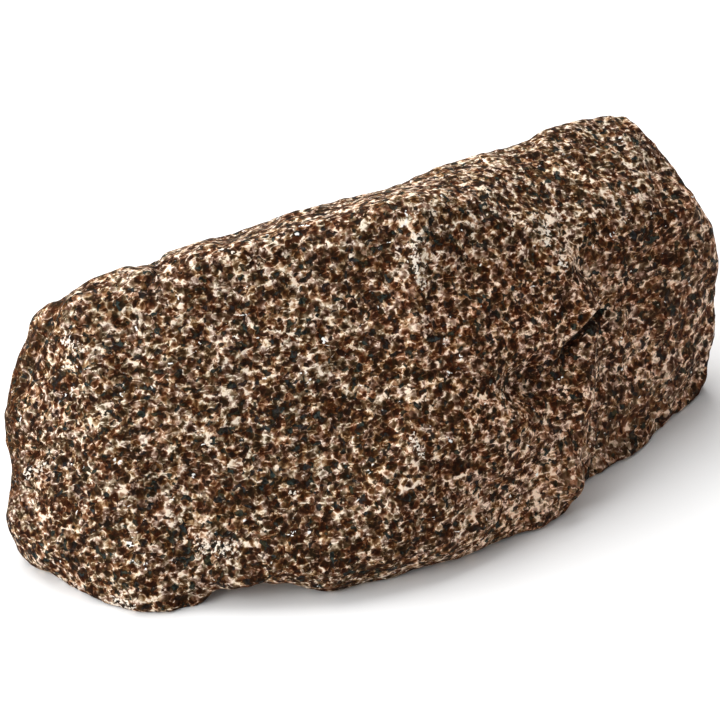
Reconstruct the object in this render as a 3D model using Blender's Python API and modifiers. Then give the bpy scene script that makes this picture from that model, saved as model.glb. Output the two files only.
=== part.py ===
"""Rough rock: one long, blocky hand specimen of coarse speckled stone, lying on its broad underside.

The rock is laid out in millimetres and built in metres. The table is z = 0, the long axis runs along X,
and the show side faces -Y. Corner points of the faces that show are given as they lie in the show side's view,
and corner points of the far side straight in the rock's own frame.

Convex masses round those corners are joined, hollows are cut out of them, and the joined body is then worn:
its edges round off and its faces become uneven. Last, the underside is cut flat where the rock rests.
"""
import math

import bmesh
import bpy
from mathutils import Euler, Matrix, Vector

MM = 0.001

# The view of the show side: from above, and turned from the front towards the left end
VIEW_TURN = math.radians(-22.0)
VIEW_PITCH = math.radians(35.0)
VIEW_DISTANCE = 336.0
VIEW_CENTRE = Vector((0.0, 0.0, 26.0))

# How far the stone sinks below the table before its underside is cut flat, in millimetres
SUNK = -1.0

# Wear, in millimetres: the grid that the body is remeshed on, and what rounding takes off is put back
WORN_GRID = 0.8
ROUNDING_PASSES = 22
PUT_BACK = 0.45

# Uneven faces: the width of the bumps and how far they rise and fall, in millimetres
SWELLS = (24.0, 1.6)
LUMPS = (9.0, 0.8)
CHIPS = (5.0, 0.35)

TRIANGLES = 9600

# Speckled stone, averaged over its grains: linear colour and roughness
STONE_COLOUR = (0.20, 0.135, 0.095, 1.0)
STONE_ROUGHNESS = 0.85


def view_axes():
    """The view's directions: towards the viewer, to the right and up."""
    back = Vector((
        math.sin(VIEW_TURN) * math.cos(VIEW_PITCH),
        -math.cos(VIEW_TURN) * math.cos(VIEW_PITCH),
        math.sin(VIEW_PITCH),
    ))
    right = Vector((math.cos(VIEW_TURN), math.sin(VIEW_TURN), 0.0))
    return back, right, back.cross(right)


BACK, RIGHT, UP = view_axes()
EYE = VIEW_CENTRE + BACK * VIEW_DISTANCE


def seen(across, rise, height):
    """Point at a height over the table, on the line of sight through a place in the view."""
    sight = RIGHT * across + UP * rise - BACK * VIEW_DISTANCE
    return EYE + sight * ((height - EYE.z) / sight.z)


def hidden(x, y, z):
    """Point of the far side, in the rock's own frame."""
    return Vector((x, y, z))


def clear_scene():
    """Removes every object, so that the script starts from nothing."""
    for old in list(bpy.data.objects):
        bpy.data.objects.remove(old, do_unlink=True)


def new_collection(name):
    """Collection of its own for one group of objects."""
    group = bpy.data.collections.new(name)
    bpy.context.scene.collection.children.link(group)
    return group


def stone():
    """Material of the whole rock."""
    material = bpy.data.materials.new("stone")
    material.use_nodes = True
    shader = material.node_tree.nodes["Principled BSDF"]
    shader.inputs["Base Color"].default_value = STONE_COLOUR
    shader.inputs["Roughness"].default_value = STONE_ROUGHNESS
    shader.inputs["Metallic"].default_value = 0.0
    return material


def convex_mass(name, corners, group):
    """Object whose surface is the tight skin round the corner points."""
    skin = bmesh.new()
    for corner in corners:
        skin.verts.new(corner * MM)
    bmesh.ops.convex_hull(skin, input=skin.verts)
    loose = [vert for vert in skin.verts if not vert.link_faces]
    bmesh.ops.delete(skin, geom=loose, context="VERTS")
    bmesh.ops.recalc_face_normals(skin, faces=skin.faces)
    mesh = bpy.data.meshes.new(name)
    skin.to_mesh(mesh)
    skin.free()
    mass = bpy.data.objects.new(name, mesh)
    group.objects.link(mass)
    return mass


def pebble(name, centre, reach, group, lean=0.0):
    """Egg-shaped body that cuts a hollow. It reaches so far across, up and towards the viewer, and leans
    clockwise in the view."""
    egg = bmesh.new()
    bmesh.ops.create_uvsphere(egg, u_segments=32, v_segments=16, radius=MM)
    mesh = bpy.data.meshes.new(name)
    egg.to_mesh(mesh)
    egg.free()
    body = bpy.data.objects.new(name, mesh)
    body.location = centre * MM
    facing = Euler((-VIEW_PITCH, 0.0, VIEW_TURN)).to_matrix()
    body.rotation_euler = (facing @ Matrix.Rotation(lean, 3, "Y")).to_euler()
    body.scale = (reach[0], reach[2], reach[1])
    group.objects.link(body)
    return body


def front_mass(group):
    """The large block whose broad face looks at the viewer."""
    corners = [
        # foot along the table, from the left end to the right
        seen(-57.0, -32.0, 2.0),
        seen(-51.0, -36.5, SUNK),
        seen(-43.5, -41.3, SUNK),
        seen(-36.5, -43.4, SUNK),
        seen(-30.5, -41.9, SUNK),
        seen(-4.0, -38.5, SUNK),
        seen(14.0, -34.5, SUNK),
        seen(33.0, -27.0, SUNK),
        # where the broad face is widest, above the foot
        seen(-40.0, -38.0, 5.0),
        seen(-4.0, -34.5, 7.0),
        seen(14.0, -31.0, 7.0),
        seen(35.5, -22.0, 5.0),
        # left end
        seen(-59.7, -26.0, 9.0),
        seen(-60.2, -10.0, 22.0),
        seen(-59.7, -2.0, 29.0),
        seen(-56.3, 7.6, 37.5),
        seen(-50.0, 10.9, 41.0),
        seen(-41.5, 15.3, 45.0),
        # long edge between the broad face and the top
        seen(-48.5, 9.0, 42.0),
        seen(-27.0, 17.5, 49.5),
        seen(-10.0, 22.3, 52.5),
        seen(8.5, 26.0, 54.5),
        seen(18.5, 27.8, 53.0),
        seen(24.0, 30.0, 52.3),
        # low ridge down the broad face
        seen(9.0, 5.0, 38.6),
        seen(10.0, -18.0, 20.5),
        # blunt corner at the right of the broad face, and its edge down to the table
        seen(33.0, 20.5, 45.0),
        seen(40.0, 8.5, 33.2),
        # rim of the top
        seen(-28.5, 18.2, 48.0),
        seen(-19.0, 20.4, 49.0),
        seen(-4.0, 25.8, 51.0),
        seen(13.5, 33.0, 52.0),
        seen(27.0, 36.2, 51.5),
        # far side
        hidden(-52.0, 22.0, SUNK),
        hidden(-50.0, 24.0, 14.0),
        hidden(-36.0, 25.0, 30.0),
        hidden(-22.0, 29.0, SUNK),
        hidden(0.0, 26.0, 34.0),
        hidden(14.0, 30.0, SUNK),
        hidden(38.0, 27.0, 36.0),
        hidden(40.0, 24.0, SUNK),
    ]
    return convex_mass("front_mass", corners, group)


def end_mass(group):
    """The block at the right: the high shoulder of the top and the end face, set a little behind the front."""
    corners = [
        # shoulder
        seen(23.5, 30.0, 52.1),
        seen(26.5, 35.8, 51.3),
        seen(32.6, 20.3, 44.4),
        seen(39.5, 25.5, 45.3),
        seen(46.5, 26.5, 44.5),
        seen(56.5, 24.5, 39.0),
        seen(31.0, 37.6, 51.5),
        seen(34.0, 39.3, 52.0),
        seen(43.5, 42.3, 51.0),
        seen(47.5, 39.0, 49.0),
        seen(52.8, 30.5, 42.0),
        seen(58.2, 24.0, 35.0),
        # end face
        seen(59.6, 16.5, 26.0),
        seen(59.8, 8.5, 16.0),
        seen(59.0, 2.0, 8.0),
        seen(58.0, -4.0, 1.0),
        seen(38.0, 8.0, 30.8),
        # foot
        seen(56.0, -7.0, SUNK),
        seen(49.0, -13.0, SUNK),
        seen(39.0, -19.5, SUNK),
        seen(34.0, -23.0, SUNK),
        # far side
        hidden(24.0, 13.0, 50.0),
        hidden(10.0, 28.0, SUNK),
        hidden(52.0, 28.0, 36.0),
        hidden(50.0, 27.0, SUNK),
        hidden(68.0, 18.0, 22.0),
        hidden(66.0, 16.0, SUNK),
    ]
    return convex_mass("end_mass", corners, group)


def hollows(group):
    """Bodies to be cut away from the joined masses."""
    return [
        # under the blunt corner, beside the end face
        pebble("hollow_under_corner", seen(35.0, -3.0, 31.5), (15.0, 6.5, 13.0), group, math.radians(-15)),
        # arch in the foot between the left lobe and the middle
        pebble("arch_in_foot", seen(-17.0, -43.5, -4.0), (12.5, 7.5, 10.0), group),
        # bite out of the left end
        pebble("bite_in_left_end", seen(-63.5, -18.5, 15.0), (5.0, 6.0, 5.0), group),
    ]


def joined(name, masses, cutters, group):
    """The masses as one object, with the hollows cut away by modifiers."""
    rock = bpy.data.objects.new(name, masses[0].data)
    group.objects.link(rock)
    steps = [("UNION", mass) for mass in masses[1:]]
    steps += [("DIFFERENCE", cutter) for cutter in cutters]
    for operation, other in steps:
        step = rock.modifiers.new(other.name, "BOOLEAN")
        step.operation = operation
        step.solver = "EXACT"
        step.object = other
    return rock


def uneven(rock, name, kind, width, depth):
    """Raises and sinks the surface by a cloud or cell pattern."""
    pattern = bpy.data.textures.new(name, kind)
    pattern.noise_scale = width * MM
    step = rock.modifiers.new(name, "DISPLACE")
    step.texture = pattern
    step.texture_coords = "LOCAL"
    step.strength = depth * 2.0 * MM
    step.mid_level = 0.5


def wear(rock):
    """Rounds the edges, makes the faces uneven and keeps the triangles that the shape needs."""
    grid = rock.modifiers.new("worn_grid", "REMESH")
    grid.mode = "VOXEL"
    grid.voxel_size = WORN_GRID * MM
    rounding = rock.modifiers.new("rounding", "SMOOTH")
    rounding.factor = 0.5
    rounding.iterations = ROUNDING_PASSES
    swell = rock.modifiers.new("put_back", "DISPLACE")
    swell.strength = PUT_BACK * MM
    swell.mid_level = 0.0
    uneven(rock, "swells", "CLOUDS", *SWELLS)
    uneven(rock, "lumps", "CLOUDS", *LUMPS)
    uneven(rock, "chips", "VORONOI", *CHIPS)


def settled(rock, material):
    """The worn body with a flat underside on the table, centred over the origin."""
    graph = bpy.context.evaluated_depsgraph_get()
    worn = bpy.data.meshes.new_from_object(rock.evaluated_get(graph), depsgraph=graph)
    rock.modifiers.clear()
    rock.data = worn
    fewer = rock.modifiers.new("fewer", "DECIMATE")
    fewer.ratio = TRIANGLES / (2.0 * len(worn.polygons))
    graph = bpy.context.evaluated_depsgraph_get()
    mesh = bpy.data.meshes.new_from_object(rock.evaluated_get(graph), depsgraph=graph)
    rock.modifiers.clear()
    body = bmesh.new()
    body.from_mesh(mesh)
    cut = bmesh.ops.bisect_plane(
        body,
        geom=body.verts[:] + body.edges[:] + body.faces[:],
        dist=1e-7,
        plane_co=(0.0, 0.0, 0.0),
        plane_no=(0.0, 0.0, 1.0),
        clear_inner=True,
    )
    rim = [item for item in cut["geom_cut"] if isinstance(item, bmesh.types.BMEdge)]
    bmesh.ops.holes_fill(body, edges=rim, sides=0)
    bmesh.ops.triangulate(body, faces=body.faces)
    lows = [min(vert.co[axis] for vert in body.verts) for axis in range(3)]
    highs = [max(vert.co[axis] for vert in body.verts) for axis in range(3)]
    middle = Vector(((lows[0] + highs[0]) / 2.0, (lows[1] + highs[1]) / 2.0, 0.0))
    bmesh.ops.translate(body, verts=body.verts, vec=-middle)
    body.to_mesh(mesh)
    body.free()
    mesh.materials.clear()
    mesh.materials.append(material)
    rock.data = mesh


def main():
    """Builds the rock."""
    clear_scene()
    shown = new_collection("rough_rock")
    tools = new_collection("cutters")
    masses = [front_mass(tools), end_mass(tools)]
    cutters = hollows(tools)
    rock = joined("rock", masses, cutters, shown)
    wear(rock)
    settled(rock, stone())
    for tool in masses + cutters:
        tool.hide_render = True
        tool.display_type = "WIRE"


main()
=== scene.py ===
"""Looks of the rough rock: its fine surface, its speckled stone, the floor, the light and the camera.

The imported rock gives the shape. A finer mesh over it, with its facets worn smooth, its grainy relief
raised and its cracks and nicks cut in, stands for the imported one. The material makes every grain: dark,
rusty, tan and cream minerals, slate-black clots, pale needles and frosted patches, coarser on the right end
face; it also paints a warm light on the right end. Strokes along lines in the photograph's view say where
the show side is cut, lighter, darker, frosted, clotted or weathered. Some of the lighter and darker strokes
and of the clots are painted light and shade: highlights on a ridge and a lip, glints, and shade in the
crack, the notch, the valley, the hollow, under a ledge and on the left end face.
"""
import math

import bpy
import numpy as np
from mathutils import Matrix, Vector, noise


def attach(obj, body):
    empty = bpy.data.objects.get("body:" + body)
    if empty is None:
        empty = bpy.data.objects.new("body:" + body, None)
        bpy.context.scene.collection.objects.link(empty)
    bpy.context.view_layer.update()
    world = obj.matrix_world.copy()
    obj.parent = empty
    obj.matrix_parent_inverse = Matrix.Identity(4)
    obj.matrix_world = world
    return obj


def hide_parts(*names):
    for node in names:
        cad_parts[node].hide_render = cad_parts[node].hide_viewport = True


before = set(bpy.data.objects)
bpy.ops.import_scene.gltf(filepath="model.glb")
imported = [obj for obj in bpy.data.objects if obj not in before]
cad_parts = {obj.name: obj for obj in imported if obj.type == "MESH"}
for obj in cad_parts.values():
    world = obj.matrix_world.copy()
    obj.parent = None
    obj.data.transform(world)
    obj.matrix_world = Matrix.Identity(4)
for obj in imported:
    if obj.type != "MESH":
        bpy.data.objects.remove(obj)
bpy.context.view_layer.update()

MM = 0.001

# The photograph's view, in degrees and millimetres: turned towards the left end, and from above
VIEW_TURN = -22.0
VIEW_PITCH = 35.0
VIEW_DISTANCE = 336.0
VIEW_CENTRE = Vector((-5.5, -1.12, 26.0))
LENS = 100.0
SENSOR = 36.0

# The surroundings and the floor, which is given in metres
WORLD_STRENGTH = 0.30
FLOOR_SIZE = 6.0
FLOOR_LEVEL = 0.9
FLOOR_ROUGHNESS = 0.9

# Lights: turn and pitch in degrees and power in watts, then the distance and size of each in metres
LIGHTS = {"key": (-90.0, 34.0, 8.5), "back": (-175.0, 62.0, 9.5)}
LIGHT_DISTANCE = 0.9
LIGHT_SIZE = 0.8

# Fine mesh: its grid and the gap that it closes, in millimetres, and how hard and how often it is smoothed
FINE_GRID = 0.56
WELDED_GAP = 0.001
SMOOTHING = 0.5
SMOOTHING_PASSES = 12

# Grainy relief: width and height in millimetres, and the seed of the pattern
RELIEF = ((5.5, 0.30, 3.0), (2.6, 0.20, 7.0), (1.5, 0.14, 11.0))

# How fast the strokes fade where the surface turns away from the view
SHOW_SIDE_FADE = 3.0

# Height of the foot that moves only sideways and of the part above it that blends in, in millimetres
FOOT = 0.1
FOOT_BLEND = 1.2

# Lines in the view that more than one table of strokes uses
VALLEY = ((40.5, 21.5), (36.8, 14.5), (34.8, 9.0))
LEFT_END_EDGE = (
    (-50.6, 9.6), (-54.8, 3.4), (-58.3, -4.2), (-59.4, -9.0), (-58.4, -13.4), (-57.9, -17.6), (-58.4, -21.8),
)

# Relief of the show side: a line across and up in the view, its half width and its height, in millimetres
CUTS_AND_RIDGES = (
    # notch in the top edge and the groove that runs down from it
    (((-34.2, 18.8), (-34.8, 16.2)), 0.75, -2.2),
    (((-34.9, 15.4), (-35.4, 13.8), (-36.3, 11.6)), 0.5, -0.7),
    # dip and swell to the left of the notch
    (((-37.4, 16.4), (-35.4, 16.8)), 1.4, -0.8),
    (((-45.4, 13.8), (-38.4, 15.8)), 1.8, 0.5),
    # crease that parts the left end from the front
    (((-49.9, 11.2), (-51.7, 7.1), (-53.1, 3.4), (-55.1, -0.8), (-56.8, -5.9)), 0.8, -0.6),
    # upright ridge down the front
    (((10.1, 26.9), (9.2, 16.8), (9.7, 5.0), (8.7, -6.7), (8.1, -16.8)), 1.6, 0.4),
    # hollow beside the end face and the swell under it
    (((23.5, -0.9), (31.0, -0.4), (36.0, 2.0)), 2.6, -0.8),
    (((24.0, -13.0), (33.6, -15.0)), 6.0, 0.9),
    # crack beside the end face, its left lip proud
    (((40.7, 8.3), (39.0, 6.3), (37.3, 4.2), (35.4, 2.1), (34.2, -0.6)), 0.6, -1.05),
    (((39.8, 8.9), (38.0, 7.0), (36.3, 4.9), (34.4, 2.8), (33.2, 0.3)), 0.55, 0.45),
    # valley between the front and the end face
    (VALLEY, 1.4, -0.45),
    # short crack on the shoulder
    (((25.6, 33.5), (27.5, 33.8), (29.4, 33.9)), 0.6, -0.5),
    # ledge and the groove under it at the left end
    (((-56.8, -19.3), (-53.8, -17.8), (-50.4, -17.1)), 0.9, 0.5),
    (((-57.6, -21.4), (-54.6, -22.2)), 1.0, -0.6),
    # crease beside the arch in the foot
    (((-29.4, -28.4), (-29.8, -34.0)), 1.2, -0.45),
    # swells and dips along the edges of the show side
    (((-23.0, 20.9), (-15.0, 23.3)), 1.5, -0.7),
    (((-1.0, 27.6), (5.0, 29.6), (11.0, 31.8)), 1.5, -0.45),
    (((20.6, 34.4), (23.0, 34.8)), 1.3, 0.55),
    (((36.0, 39.6), (41.4, 40.6)), 1.7, 0.6),
    (((44.6, 40.6), (49.6, 36.6), (54.6, 29.8)), 1.7, -0.55),
    (((59.8, 11.8), (59.6, 6.8)), 1.9, -0.6),
    (((57.4, -8.4), (53.8, -12.0)), 1.9, 0.9),
    (((36.2, -22.0), (41.2, -18.2), (47.0, -14.8)), 2.0, 1.1),
    (((-29.4, -40.8), (-24.4, -39.0)), 1.5, -0.9),
    (((-21.2, -38.4), (-18.6, -38.0)), 1.3, 0.6),
    (((-16.0, -37.6), (-11.8, -37.6)), 1.5, -0.6),
    (((11.0, -35.0), (16.0, -33.2)), 1.7, 0.45),
    (((26.0, -30.2), (31.0, -27.8)), 1.7, 0.45),
)

# Lighter and darker places of the show side, partly the stone's own tone and partly painted light and shade:
# a line in the view, its half width and how much lighter or darker it is
TONES_AND_PAINTED_LIGHT = (
    # lighter
    # paler stone and a painted highlight along the upright ridge (this line and the next)
    (((9.8, 28.0), (9.4, 8.0), (9.0, -14.0)), 2.2, 0.50),
    (((13.4, 27.0), (13.6, 8.0)), 2.6, 0.60),
    (((-1.0, 26.0), (4.0, 24.6)), 2.4, 0.35),
    (((21.0, 34.0), (24.0, 30.0)), 2.6, 0.35),
    (((31.0, 22.0), (34.0, 19.0), (39.0, 16.0)), 3.2, 0.75),
    (((48.0, 33.0), (43.0, 29.0), (38.8, 22.0)), 3.6, 0.40),
    (((56.5, 25.0), (57.0, 8.0)), 3.0, 0.45),
    (((54.0, -7.0), (47.0, -13.5), (38.0, -20.0)), 1.5, 0.50),
    (((41.0, -2.0), (47.0, 2.0), (52.0, -1.0)), 4.5, 0.40),
    (((50.0, -5.0), (54.0, -10.0)), 4.0, 0.20),
    (((20.0, -24.0), (28.0, -23.0), (36.0, -16.0)), 5.0, 0.60),
    (((28.0, 0.0), (29.0, -4.0)), 4.0, 0.20),
    (((-45.0, 4.0), (-34.0, 1.0), (-27.0, 3.0)), 4.2, 0.30),
    (((-33.0, 13.0), (-31.0, 8.0)), 3.4, 0.25),
    (((-22.0, -3.0), (-21.0, -9.0)), 3.2, 0.40),
    (((-21.0, -5.0), (-12.0, -2.5), (-14.0, 4.0)), 3.6, 0.45),
    (((38.6, -7.0), (38.6, -18.0)), 2.8, 0.45),
    (((18.5, -31.5), (24.0, -28.0), (31.0, -24.0)), 2.2, 0.55),
    (((-50.0, -14.0), (-36.0, -13.0), (-24.0, -10.0)), 3.2, 0.20),
    (((-42.0, 14.5), (-37.0, 13.0)), 2.0, 0.40),
    # painted highlight on the left lip of the crack
    (((39.2, 8.2), (37.3, 5.8), (35.6, 3.6)), 0.45, 0.60),
    # darker
    (((-16.0, -8.0), (-4.0, -10.0), (0.0, -14.0)), 6.0, -0.50),
    (((-17.0, -19.0), (-10.0, -26.0), (-2.0, -34.0)), 5.0, -0.40),
    (((-44.0, -4.5), (-38.0, -4.5)), 2.2, -0.25),
    (((-22.0, 9.0), (-20.0, 6.0)), 3.2, -0.30),
    (((2.4, 17.5), (3.6, 4.0)), 3.2, -0.65),
    (((-50.0, -25.0), (-41.0, -24.0), (-39.0, -33.0)), 3.6, -0.30),
    (((-20.0, -35.0), (-17.0, -30.0), (-8.0, -32.0)), 3.6, -0.40),
    (((3.0, -34.0), (8.0, -32.0)), 2.4, -0.35),
    (((-52.0, -3.0), (-47.0, -9.0)), 3.4, -0.30),
    (((23.5, 18.0), (23.8, 6.0)), 2.8, -0.30),
    (((53.8, 10.0), (53.8, 3.0)), 3.0, -0.20),
    (((13.0, -3.0), (14.0, -9.0)), 3.6, -0.30),
    (((16.0, 20.0), (19.0, 4.0), (20.0, -1.0)), 3.6, -0.30),
    (((33.0, 34.0), (34.0, 30.0)), 2.6, -0.25),
    (((47.0, -11.0), (38.0, -17.0)), 4.5, -0.35),
    # painted shadow under the top ledge of the right end
    (((45.0, 22.0), (52.0, 21.0), (57.0, 18.5)), 2.6, -0.50),
    # painted shade in the hollow beside the end face
    (((24.0, -1.0), (33.0, -0.5), (38.5, 5.5)), 1.5, -0.35),
    # painted shade in the valley between the front and the end face
    (VALLEY, 1.5, -0.45),
    # painted shade on the left end face, which turns away from the light
    (LEFT_END_EDGE, 1.2, -0.55),
    # painted shade in the groove down from the notch
    (((-34.6, 16.6), (-35.6, 13.4), (-36.8, 10.4)), 0.9, -0.90),
)

# Slate-black clots, and painted shade in the crack, the notch and the hollow drawn as clots: a line in the
# view and its half width
CLOTS_AND_SHADE = (
    (((-15.0, -8.6), (-13.4, -9.4)), 1.5),
    (((20.2, 27.6), (21.6, 25.0)), 1.5),
    (((-41.0, 2.2), (-39.6, 1.4)), 1.2),
    # darker along the crease beside the arch
    (((-29.6, -29.6), (-29.2, -33.0)), 1.3),
    (((47.0, 20.6), (49.0, 19.6)), 1.1),
    # dark grains and painted shade in the hollow beside the end face
    (((31.4, -0.4), (33.6, -1.2)), 1.2),
    # painted shadow in the crack beside the end face (this line and the next)
    (((40.3, 7.9), (37.3, 4.2), (34.6, 0.4)), 0.65),
    (((40.1, 6.4), (38.9, 4.6)), 1.0),
    # painted shade in the notch and the groove down from it (this line and the next)
    (((-34.6, 16.6), (-34.9, 15.0)), 0.8),
    (((-34.8, 16.2), (-35.6, 13.4), (-36.8, 10.4)), 0.5),
)

# Frosted patches: a line in the view and its half width
FROST = (
    (((9.6, 20.6), (9.0, 16.0), (10.4, 12.6)), 1.3),
    (((31.0, 23.4), (31.6, 19.6)), 0.9),
    (((-26.2, -31.2), (-22.4, -31.6)), 2.2),
    (((-49.8, 3.4), (-46.4, 1.6)), 1.2),
    (((33.8, 16.8), (34.4, 15.6)), 1.0),
    (((-41.4, -40.4), (-38.6, -41.6)), 1.2),
    (((8.8, -13.0), (10.4, -15.8)), 1.1),
    (((-56.0, -19.6), (-53.0, -17.6)), 1.1),
    (((-23.0, 18.6), (-20.4, 17.6)), 0.8),
)

# Single pale crystals with a painted glint: a line in the view and its half width, and how much frost they
# add
GLINTS = (
    (((-14.3, 5.2), (-13.5, 4.7)), 0.5),
    (((-11.6, -22.2), (-11.0, -22.5)), 0.5),
    (((-21.3, 4.1), (-20.4, 3.3)), 0.4),
    (((-37.7, -4.0), (-37.2, -4.4)), 0.4),
    (((-49.8, -1.0), (-48.2, -0.8)), 0.4),
)
GLINT_FROST = 1.2

# Softly weathered places: a line in the view, its half width and how soft it is
SOFT = (
    (LEFT_END_EDGE, 1.4, 1.0),
    (((54.0, -5.5), (42.0, -12.0), (33.6, -21.8)), 3.6, 1.0),
    (((56.0, 16.0), (47.0, 8.0), (50.0, -4.0)), 7.0, 0.3),
)

# The mesh carries the strokes to the material as the channels of one colour, with this shade for no change
MARKS = "marks"
TONE_AND_LIGHT_MARK, CLOT_AND_SHADE_MARK, FROST_MARK, SOFT_MARK = range(4)
NO_SHADE = 0.5


def way(turn, pitch):
    """Direction turned from the front towards the right end and raised, both in degrees."""
    turn = math.radians(turn)
    pitch = math.radians(pitch)
    return Vector((
        math.sin(turn) * math.cos(pitch),
        -math.cos(turn) * math.cos(pitch),
        math.sin(pitch),
    ))


# The view's directions, towards the viewer, to the right and up, and where the viewer stands
BACK = way(VIEW_TURN, VIEW_PITCH)
RIGHT = Vector((math.cos(math.radians(VIEW_TURN)), math.sin(math.radians(VIEW_TURN)), 0.0))
UP = BACK.cross(RIGHT)
EYE = VIEW_CENTRE + BACK * VIEW_DISTANCE


def applied(obj):
    """The object's mesh as its modifiers leave it."""
    graph = bpy.context.evaluated_depsgraph_get()
    return bpy.data.meshes.new_from_object(obj.evaluated_get(graph), depsgraph=graph)


def fine_rock(node):
    """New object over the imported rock, on a fine even grid, with the facets worn away."""
    rock = bpy.data.objects.new("rock_surface", node.data.copy())
    bpy.context.scene.collection.objects.link(rock)
    weld = rock.modifiers.new("weld", "WELD")
    weld.merge_threshold = WELDED_GAP * MM
    grid = rock.modifiers.new("grid", "REMESH")
    grid.mode = "VOXEL"
    grid.voxel_size = FINE_GRID * MM
    smooth = rock.modifiers.new("smooth", "SMOOTH")
    smooth.factor = SMOOTHING
    smooth.iterations = SMOOTHING_PASSES
    mesh = applied(rock)
    rock.modifiers.clear()
    rock.data = mesh
    return rock


def vertex_table(mesh):
    """Places of a mesh's points, in millimetres, and their normals, as arrays."""
    places = np.empty(len(mesh.vertices) * 3)
    mesh.vertices.foreach_get("co", places)
    normals = np.empty(len(mesh.vertices) * 3)
    mesh.vertex_normals.foreach_get("vector", normals)
    return places.reshape(-1, 3) / MM, normals.reshape(-1, 3)


def in_view(places):
    """How far each place lies across and up in the view, in millimetres."""
    rel = places - np.array(EYE)
    scale = VIEW_DISTANCE / -(rel @ np.array(BACK))
    return (rel @ np.array(RIGHT)) * scale, (rel @ np.array(UP)) * scale


def relief(places, width, seed):
    """Rise and fall of a grainy surface, from -1 to 1, with grains so wide."""
    offset = Vector((seed, seed * 2.0, seed * 3.0))
    return np.array([noise.noise(Vector(place) / width + offset) for place in places])


def stroke(across, rise, line, width):
    """1 along a line through points in the view, falling away to nothing at about twice the width."""
    near = np.full(len(across), np.inf)
    for (a0, r0), (a1, r1) in zip(line, line[1:]):
        run_a, run_r = a1 - a0, r1 - r0
        share = ((across - a0) * run_a + (rise - r0) * run_r) / (run_a ** 2 + run_r ** 2)
        share = np.clip(share, 0.0, 1.0)
        near = np.minimum(near, np.hypot(across - a0 - run_a * share, rise - r0 - run_r * share))
    return np.exp(-((near / width) ** 2))


def sculpt(rock):
    """Raises the grainy relief, cuts and swells the show side, and marks its tones, painted light and shade,
    and patches.
    """
    mesh = rock.data
    places, normals = vertex_table(mesh)
    across, rise = in_view(places)
    show_side = np.clip((normals @ np.array(BACK)) * SHOW_SIDE_FADE + 1.0, 0.0, 1.0)
    lift = np.zeros(len(places))
    for width, height, seed in RELIEF:
        lift += height * relief(places, width, seed)
    for line, width, height in CUTS_AND_RIDGES:
        lift += show_side * height * stroke(across, rise, line, width)
    # near the underside, which stays flat, the surface moves only sideways
    normals[:, 2] *= np.clip((places[:, 2] - FOOT) / FOOT_BLEND, 0.0, 1.0)
    moved = (places + normals * lift[:, None]) * MM
    moved[:, 2] = np.maximum(moved[:, 2], 0.0)
    mesh.vertices.foreach_set("co", moved.ravel())
    mesh.update()
    mesh.shade_smooth()

    marks = np.zeros((len(places), 4))
    marks[:, TONE_AND_LIGHT_MARK] = NO_SHADE
    # lighter and darker strokes: the stone's own tone, and painted highlights and shade
    for line, width, change in TONES_AND_PAINTED_LIGHT:
        marks[:, TONE_AND_LIGHT_MARK] += NO_SHADE * change * stroke(across, rise, line, width) * show_side
    # clots, among them painted shade in the crack, the notch and the hollow, and frosted patches
    for channel, lines in ((CLOT_AND_SHADE_MARK, CLOTS_AND_SHADE), (FROST_MARK, FROST)):
        for line, width in lines:
            patch = stroke(across, rise, line, width) * show_side
            marks[:, channel] = np.maximum(marks[:, channel], patch)
    # painted glints on single pale crystals
    for line, width in GLINTS:
        marks[:, FROST_MARK] += GLINT_FROST * stroke(across, rise, line, width) * show_side
    for line, width, softness in SOFT:
        patch = softness * stroke(across, rise, line, width) * show_side
        marks[:, SOFT_MARK] = np.maximum(marks[:, SOFT_MARK], patch)
    layer = mesh.color_attributes.new(MARKS, "FLOAT_COLOR", "POINT")
    layer.data.foreach_set("color", marks.ravel())


def tone(red, green, blue):
    """Opaque colour given by its linear levels, which pass 1 in a tint that brightens."""
    return (red, green, blue, 1.0)


def grey(level):
    """Opaque linear grey."""
    return tone(level, level, level)


def linear(red, green, blue):
    """Opaque linear colour of an sRGB one given from 0 to 255."""
    def one(value):
        value /= 255.0
        return value / 12.92 if value <= 0.04045 else ((value + 0.055) / 1.055) ** 2.4
    return tone(one(red), one(green), one(blue))


# The right end face: the way along it from where it starts, and its middle, in millimetres
END_RUN = (0.75, 0.21, -0.63)
END_MIDDLE = (45.0, -5.0, 22.0)

# Its coarser grain: how far in it is coarsest, and the shares drawn in all round and along that way
END_BLEND = 30.0
END_COARSER = 0.18
END_DRAW = 0.18

# Cells that stand for grains: their widths and the shift of the fine ones, in millimetres
COARSE_GRAIN = 1.2
FINE_GRAIN = 0.70
FINE_SHIFT = (31.0, 7.0, 13.0)

# Noises: width of a patch in millimetres, detail, roughness and the pattern's shift, and their middle value
WARP = (0.9, 1.0, 0.4)
CLOUD = (1.04, 1.5, 0.45, (9.0, 21.0, 4.0))
DRIFT = (6.0, 2.0, 0.5, (2.0, 5.0, 17.0))
SPECK = (0.55, 2.0, 0.5, (1.0, 3.0, 8.0))
PATCHES = (0.9, 2.0, 0.5, (6.0, 1.0, 3.0))
FROSTING = (8.0, 3.0, 0.6, (12.0, 33.0, 8.0))
CLOTTING = (1.2, 1.5, 0.5, (3.0, 41.0, 8.0))
RARITY = (2.0, 1.0, 0.5, (8.0, 6.0, 31.0))
GRIT = (0.3, 3.0, 0.65)
WAVES = (1.2, 0.0, 0.5)
NOISE_MIDDLE = 0.5

# How far the warp pulls places about, in millimetres: for ragged grains, and for needles, clots and specks
RAGGED_PULL = 1.2
BENT_PULL = 0.5

# What each layer adds to the value that says which mineral a place is, and what is taken off their sum
COARSE_SHARE = 0.22
RIM_SHARE = 0.40
FINE_SHARE = 0.06
CLOUD_SHARE = 0.60
DRIFT_SHARE = 0.14
SPECK_SHARE = 0.22
SUM_SHIFT = 0.435

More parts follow.
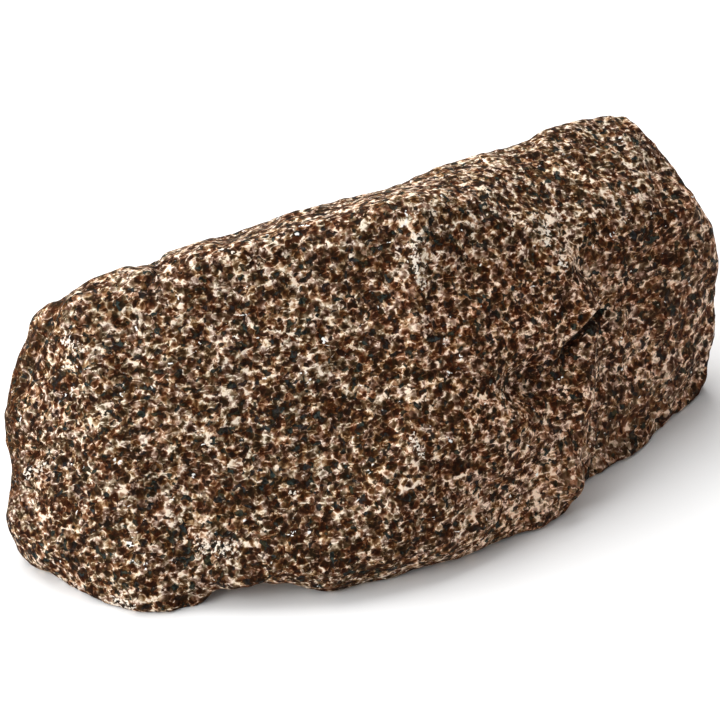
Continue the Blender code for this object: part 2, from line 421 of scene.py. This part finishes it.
# Weathered places: the value that they draw towards, and how far
WEATHERED = 0.40
WEATHERING = 0.5

# Needles: stretch along their length, shift and turn of each of their two ways, and how thin they are
NEEDLE_STRETCH = (0.4, 1.0, 1.0)
ONE_WAY = ((17.0, 2.0, 29.0), (0.4, 0.5, 0.9))
OTHER_WAY = ((4.0, 12.0, 9.0), (1.3, 0.2, -0.7))
NEEDLE_EDGE = (0.015, 0.085)

# Patches of the needles of each way and of rare white ones, and the strength and colour of a white one
ONE_WAY_PATCH = (0.47, 0.55)
OTHER_WAY_PATCH = (0.41, 0.47)
WHITE_PATCH = (0.70, 0.74)
WHITE_NEEDLE = 0.55
WHITE_COLOUR = linear(250, 249, 245)

# Frost and clots: where they start and are full, how strong loose frost is and what the strokes of clots and
# painted shade add
FROST_EDGE = (0.62, 0.72)
LOOSE_FROST = 0.5
CLOT_AND_SHADE_EDGE = (0.59, 0.62)
CLOT_AND_SHADE_STROKE = 0.14

# What needles, frost and the strokes of tone and painted light add to the value, and what clots and painted
# shade take off it
NEEDLE_LIFT = 0.20
FROST_LIFT = 0.05
TONE_AND_LIGHT_LIFT = 0.22
CLOT_AND_SHADE_DROP = 0.20

# Colours of the minerals by their value, and of the slate-black grains by their specks
MINERALS = (
    (0.10, linear(26, 11, 1)),
    (0.25, linear(41, 22, 8)),
    (0.35, linear(63, 39, 20)),
    (0.43, linear(94, 67, 46)),
    (0.51, linear(139, 112, 89)),
    (0.59, linear(192, 166, 142)),
    (0.67, linear(246, 228, 206)),
)
SLATE = (
    (0.38, linear(15, 16, 14)),
    (0.66, linear(62, 64, 60)),
)

# Tints of the grains, with the shares that the coarse and the fine cells have in them
GREY_TO_RUST = (
    (0.25, tone(0.84, 1.02, 1.24)),
    (0.50, tone(0.99, 1.01, 1.04)),
    (0.75, tone(1.28, 0.95, 0.60)),
)
GREY_TO_RUST_SHARES = (0.65, 0.35)
PINK_TO_GREEN = (
    (0.30, tone(1.07, 0.92, 1.06)),
    (0.50, tone(1.0, 1.0, 1.0)),
    (0.70, tone(0.93, 1.07, 0.90)),
)
PINK_TO_GREEN_SHARES = (0.5, 0.5)

# Tinted grains: the share is this less so many times the value, so that pale grains keep their own colour
TINT_START = 1.5
TINT_FALL = 2.0

# Painted warm light on the right end: its tint, and where it starts and is full along the rock and down from
# its top, in millimetres
WARM_LIGHT_TINT = tone(1.10, 0.98, 0.93)
WARM_LIGHT_ALONG = (-22.0, 16.0)
WARM_LIGHT_DOWN = (50.0, 38.0)

# Speckles of the frosted patches: how much rarer they are elsewhere, their bounds, strengths and colours
RARER = 0.28
PALE_SPECKLE = (0.50, 0.55)
PALE_STRENGTH = 0.90
PALE_COLOUR = linear(250, 238, 222)
BLACK_SPECKLE = (0.42, 0.47)
BLACK_STRENGTH = 0.80
BLACK_COLOUR = linear(27, 28, 25)

# Roughness by the fine cells: most grains dull, some with a bright cleavage face
GLOSS = ((0.0, grey(0.88)), (0.88, grey(0.80)), (0.92, grey(0.45)))
SPECULAR = 0.07

# Relief too fine for the mesh: height in millimetres, strength, and the shares of the value and the grit
BUMP_HEIGHT = 0.4
BUMP_STRENGTH = 0.8
BUMP_OF_VALUE = 0.6
BUMP_OF_GRIT = 0.35


class Nodes:
    """Short way to write one material's nodes."""

    def __init__(self, name):
        self.material = bpy.data.materials.new(name)
        self.material.use_nodes = True
        self.tree = self.material.node_tree
        self.tree.nodes.clear()

    def add(self, kind, **settings):
        """New node with these settings."""
        node = self.tree.nodes.new(kind)
        for key, value in settings.items():
            setattr(node, key, value)
        return node

    def feed(self, node, **sources):
        """Sets or links inputs, and gives the node's outputs.

        A key is the input's name, with _ for a space, or n0, n1... for its number.
        """
        for key, source in sources.items():
            numbered = key[0] == "n" and key[1:].isdigit()
            socket = node.inputs[int(key[1:])] if numbered else node.inputs[key.replace("_", " ")]
            if isinstance(source, bpy.types.NodeSocket):
                self.tree.links.new(source, socket)
            else:
                socket.default_value = source
        return node.outputs

    def math(self, operation, first, second=0.0, clamp=False):
        """Result of one operation on two values."""
        node = self.add("ShaderNodeMath", operation=operation, use_clamp=clamp)
        return self.feed(node, n0=first, n1=second)[0]

    def plus(self, value, *parts):
        """A value with others added to it, each times its share."""
        for part, share in parts:
            value = self.math("ADD", value, self.math("MULTIPLY", part, share))
        return value

    def share_of(self, value, none, full):
        """From 0 to 1 as a value goes from one bound to the other."""
        node = self.add("ShaderNodeMapRange", interpolation_type="SMOOTHSTEP")
        return self.feed(node, Value=value, From_Min=none, From_Max=full)[0]

    def vector_math(self, operation, first, second):
        """Vector that one operation on two vectors gives."""
        node = self.add("ShaderNodeVectorMath", operation=operation)
        return self.feed(node, n0=first, n1=second)["Vector"]

    def scaled(self, vector, factor):
        """The vector so many times."""
        node = self.add("ShaderNodeVectorMath", operation="SCALE")
        return self.feed(node, n0=vector, Scale=factor)["Vector"]

    def coarser_end(self, vector):
        """The place drawn together on the end face, so that the grain is coarser there."""
        node = self.add("ShaderNodeVectorMath", operation="DOT_PRODUCT")
        along = self.feed(node, n0=vector, n1=END_RUN)["Value"]
        past = self.math("MAXIMUM", along, 0.0)
        back = self.scaled(END_RUN, self.math("MULTIPLY", past, -END_DRAW))
        apart = self.vector_math("SUBTRACT", vector, END_MIDDLE)
        share = self.share_of(along, 0.0, END_BLEND)
        inwards = self.scaled(apart, self.math("MULTIPLY", share, -END_COARSER))
        return self.vector_math("ADD", self.vector_math("ADD", vector, back), inwards)

    def pulled(self, vector, field, reach):
        """The place pulled about by a noise's colour, so far at most from side to side."""
        node = self.add("ShaderNodeVectorMath", operation="MULTIPLY_ADD")
        offset = self.feed(node, n0=field, n1=(reach,) * 3, n2=(-reach / 2,) * 3)["Vector"]
        return self.vector_math("ADD", vector, offset)

    def noise(self, vector, width, detail, rough, shift=None):
        """Outputs of a noise: its value first, then its colour."""
        if shift:
            vector = self.vector_math("ADD", vector, shift)
        node = self.add("ShaderNodeTexNoise")
        return self.feed(node, Vector=vector, Scale=1.0 / width, Detail=detail, Roughness=rough)

    def needles(self, vector, shift, turn):
        """1 along thin lines that run mostly one way."""
        node = self.add("ShaderNodeMapping", vector_type="POINT")
        turned = self.feed(node, Vector=vector, Location=shift, Rotation=turn, Scale=NEEDLE_STRETCH)[0]
        waves = self.noise(turned, *WAVES)[0]
        off = self.math("ABSOLUTE", self.math("SUBTRACT", waves, NOISE_MIDDLE))
        return self.fall(off, *NEEDLE_EDGE)

    def cells(self, vector, width):
        """Outputs of a pattern of cells: the way from each middle, and a chance colour."""
        node = self.add("ShaderNodeTexVoronoi")
        return self.feed(node, Vector=vector, Scale=1.0 / width)

    def ramp(self, value, stops):
        """Colour by a value, from places along a ramp and the colour at each."""
        node = self.add("ShaderNodeValToRGB")
        points = node.color_ramp.elements
        while len(points) < len(stops):
            points.new(0.5)
        for point, (place, colour) in zip(points, stops):
            point.position = place
            point.color = colour
        return self.feed(node, Fac=value)[0]

    def rise(self, value, start, end):
        """0 up to the start and 1 from the end."""
        return self.channels(self.ramp(value, ((start, grey(0.0)), (end, grey(1.0)))))[0]

    def fall(self, value, start, end):
        """1 up to the start and 0 from the end."""
        return self.channels(self.ramp(value, ((start, grey(1.0)), (end, grey(0.0)))))[0]

    def mix(self, share, first, second, blend="MIX"):
        """One colour laid over another. A Mix node's inputs 6 and 7 and its output 2 are its colours."""
        node = self.add("ShaderNodeMix", data_type="RGBA", blend_type=blend)
        return self.feed(node, n0=share, n6=first, n7=second)[2]

    def channels(self, colour):
        """Red, green and blue of a colour."""
        return self.feed(self.add("ShaderNodeSeparateColor"), Color=colour)


def stone():
    """Coarse speckled stone: mineral grains, pale needles, clots, glints, frosted patches, painted light and
    shade.
    """
    n = Nodes("speckled_stone")
    true_mm = n.scaled(n.add("ShaderNodeTexCoord").outputs["Object"], 1.0 / MM)
    mm = n.coarser_end(true_mm)
    marked = n.add("ShaderNodeAttribute", attribute_name=MARKS).outputs
    marks = n.channels(marked["Color"])
    warp = n.noise(mm, *WARP)["Color"]
    ragged = n.pulled(mm, warp, RAGGED_PULL)
    bent = n.pulled(mm, warp, BENT_PULL)

    # the value that says which mineral a place is
    coarse = n.cells(ragged, COARSE_GRAIN)
    coarse_chance = n.channels(coarse["Color"])
    fine = n.cells(n.vector_math("ADD", ragged, FINE_SHIFT), FINE_GRAIN)
    fine_chance = n.channels(fine["Color"])
    speck = n.noise(bent, *SPECK)[0]
    value = n.plus(
        0.0,
        (coarse_chance[0], COARSE_SHARE),
        (coarse["Distance"], RIM_SHARE),
        (fine_chance[0], FINE_SHARE),
        (n.noise(mm, *CLOUD)[0], CLOUD_SHARE),
        (n.noise(mm, *DRIFT)[0], DRIFT_SHARE),
        (speck, SPECK_SHARE),
    )
    value = n.math("SUBTRACT", value, SUM_SHIFT)

    # weathered places, with less difference between their grains
    even = n.math("MULTIPLY", n.math("SUBTRACT", WEATHERED, value), marked["Alpha"])
    value = n.plus(value, (even, WEATHERING))

    # pale needles, in patches that lie different ways
    patches = n.noise(mm, *PATCHES)[0]
    one_way = n.math("MULTIPLY", n.needles(bent, *ONE_WAY), n.rise(patches, *ONE_WAY_PATCH))
    other_way = n.math("MULTIPLY", n.needles(bent, *OTHER_WAY), n.fall(patches, *OTHER_WAY_PATCH))
    needle = n.math("MAXIMUM", one_way, other_way)
    value = n.plus(value, (needle, NEEDLE_LIFT))

    # frosted patches, paler as a whole
    frost = n.math("MULTIPLY", n.rise(n.noise(mm, *FROSTING)[0], *FROST_EDGE), LOOSE_FROST)
    frost = n.math("MAXIMUM", frost, marks[FROST_MARK])
    value = n.plus(value, (frost, FROST_LIFT))
    # lighter and darker strokes: the stone's own tone, and painted highlights and shade
    value = n.plus(value, (n.math("SUBTRACT", marks[TONE_AND_LIGHT_MARK], NO_SHADE), TONE_AND_LIGHT_LIFT))

    # slate-black grains, the larger clots among them, and painted shade in the crack, the notch and the
    # hollow
    clots_and_shade = n.rise(n.plus(n.noise(bent, *CLOTTING)[0], (marks[CLOT_AND_SHADE_MARK], CLOT_AND_SHADE_STROKE)), *CLOT_AND_SHADE_EDGE)
    value = n.math("SUBTRACT", value, n.math("MULTIPLY", clots_and_shade, CLOT_AND_SHADE_DROP), clamp=True)
    colour = n.ramp(value, MINERALS)
    colour = n.mix(n.math("MULTIPLY", clots_and_shade, coarse_chance[2]), colour, n.ramp(speck, SLATE))

    # each grain has its own tint, from grey to rust and from pink to green
    tinted = n.math("SUBTRACT", TINT_START, n.math("MULTIPLY", value, TINT_FALL), clamp=True)
    for tints, (coarse_share, fine_share), coarse_channel, fine_channel in (
        (GREY_TO_RUST, GREY_TO_RUST_SHARES, 1, 2),
        (PINK_TO_GREEN, PINK_TO_GREEN_SHARES, 2, 1),
    ):
        chance = n.plus(
            0.0,
            (coarse_chance[coarse_channel], coarse_share),
            (fine_chance[fine_channel], fine_share),
        )
        colour = n.mix(tinted, colour, n.ramp(chance, tints), "MULTIPLY")

    # painted warm light towards the right end, below its top, warmer than the lamps make it
    place = n.feed(n.add("ShaderNodeSeparateXYZ"), Vector=true_mm)
    warm_lit = n.math("MULTIPLY", n.share_of(place["X"], *WARM_LIGHT_ALONG), n.share_of(place["Z"], *WARM_LIGHT_DOWN))
    colour = n.mix(warm_lit, colour, WARM_LIGHT_TINT, "MULTIPLY")

    # fine pale and dark speckles of the frosted patches
    rarer = n.math("MULTIPLY", n.math("SUBTRACT", 1.0, frost), RARER)
    pale = n.rise(n.math("SUBTRACT", speck, rarer), *PALE_SPECKLE)
    black = n.fall(n.math("ADD", speck, rarer), *BLACK_SPECKLE)
    colour = n.mix(n.math("MULTIPLY", black, BLACK_STRENGTH), colour, BLACK_COLOUR)
    colour = n.mix(n.math("MULTIPLY", pale, PALE_STRENGTH), colour, PALE_COLOUR)

    # a few bright white needles
    rare = n.rise(n.noise(mm, *RARITY)[0], *WHITE_PATCH)
    white = n.math("MULTIPLY", n.math("GREATER_THAN", needle, WHITE_NEEDLE), rare)
    colour = n.mix(white, colour, WHITE_COLOUR)

    height = n.plus(n.math("MULTIPLY", value, BUMP_OF_VALUE), (n.noise(mm, *GRIT)[0], BUMP_OF_GRIT))
    bump = n.feed(n.add("ShaderNodeBump"), Strength=BUMP_STRENGTH, Distance=BUMP_HEIGHT * MM, Height=height)
    roughness = n.channels(n.ramp(fine_chance[1], GLOSS))[0]
    shader = n.add("ShaderNodeBsdfPrincipled")
    n.feed(shader, Base_Color=colour, Roughness=roughness, Normal=bump[0], Specular_IOR_Level=SPECULAR)
    n.feed(n.add("ShaderNodeOutputMaterial"), Surface=shader.outputs[0])
    return n.material


def floor():
    """Pale dull floor that the rock lies on."""
    bpy.ops.mesh.primitive_plane_add(size=FLOOR_SIZE, location=(0.0, 0.0, 0.0))
    plane = bpy.context.object
    plane.name = "floor"
    material = bpy.data.materials.new("pale_floor")
    material.use_nodes = True
    shader = material.node_tree.nodes["Principled BSDF"]
    shader.inputs["Base Color"].default_value = grey(FLOOR_LEVEL)
    shader.inputs["Roughness"].default_value = FLOOR_ROUGHNESS
    plane.data.materials.append(material)


def soft_light(name, turn, pitch, power):
    """Square soft light that looks at the rock from a direction."""
    towards = way(turn, pitch)
    lamp = bpy.data.lights.new(name, "AREA")
    lamp.size = LIGHT_SIZE
    lamp.energy = power
    light = bpy.data.objects.new(name, lamp)
    light.location = VIEW_CENTRE * MM + towards * LIGHT_DISTANCE
    light.rotation_euler = towards.to_track_quat("Z", "Y").to_euler()
    bpy.context.scene.collection.objects.link(light)


def studio():
    """Even pale surroundings, a soft light from the left and one from behind and above."""
    world = bpy.data.worlds.new("studio")
    world.use_nodes = True
    surroundings = world.node_tree.nodes["Background"]
    surroundings.inputs["Color"].default_value = grey(1.0)
    surroundings.inputs["Strength"].default_value = WORLD_STRENGTH
    bpy.context.scene.world = world
    for name, (turn, pitch, power) in LIGHTS.items():
        soft_light(name, turn, pitch, power)
    bpy.context.scene.view_settings.view_transform = "Standard"


def camera():
    """The photograph's view of the rock."""
    data = bpy.data.cameras.new("camera")
    data.lens = LENS
    data.sensor_width = SENSOR
    view = bpy.data.objects.new("camera", data)
    view.location = EYE * MM
    view.rotation_euler = BACK.to_track_quat("Z", "Y").to_euler()
    bpy.context.scene.collection.objects.link(view)
    bpy.context.scene.camera = view


rock = fine_rock(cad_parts["rock"])
sculpt(rock)
rock.data.materials.clear()
rock.data.materials.append(stone())
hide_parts("rock")
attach(rock, "root")
floor()
studio()
camera()
